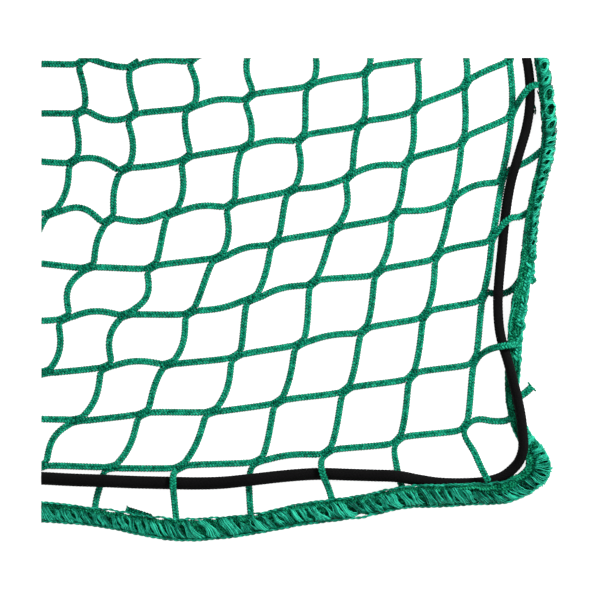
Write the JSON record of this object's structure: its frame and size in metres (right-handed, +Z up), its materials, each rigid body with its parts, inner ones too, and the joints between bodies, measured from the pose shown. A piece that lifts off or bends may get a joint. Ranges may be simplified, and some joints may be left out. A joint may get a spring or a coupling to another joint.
{
  "type": "cover net corner",
  "caption": "Corner of a green knotless cover net with a crocheted border band and a black elastic cord threaded through its outer meshes, lying flat.",
  "frame": {"origin": "under the middle of the bounding box, on the surface that the net lies on", "axes": "+X to the right along the bottom border, +Y up along the right border, +Z up from the surface"},
  "size_m": [0.2808, 0.263, 0.0135],
  "materials": {
    "net_yarn": "knitted polypropylene strands with a soft sheen",
    "border_yarn": "crocheted shiny tape yarn over a knitted core",
    "elastic_cover": "matt braided cover over a rubber core"
  },
  "bodies": {
    "root": {"netting": "net_yarn", "border_band": "border_yarn", "elastic_cord": "elastic_cover"}
  },
  "joints": []
}
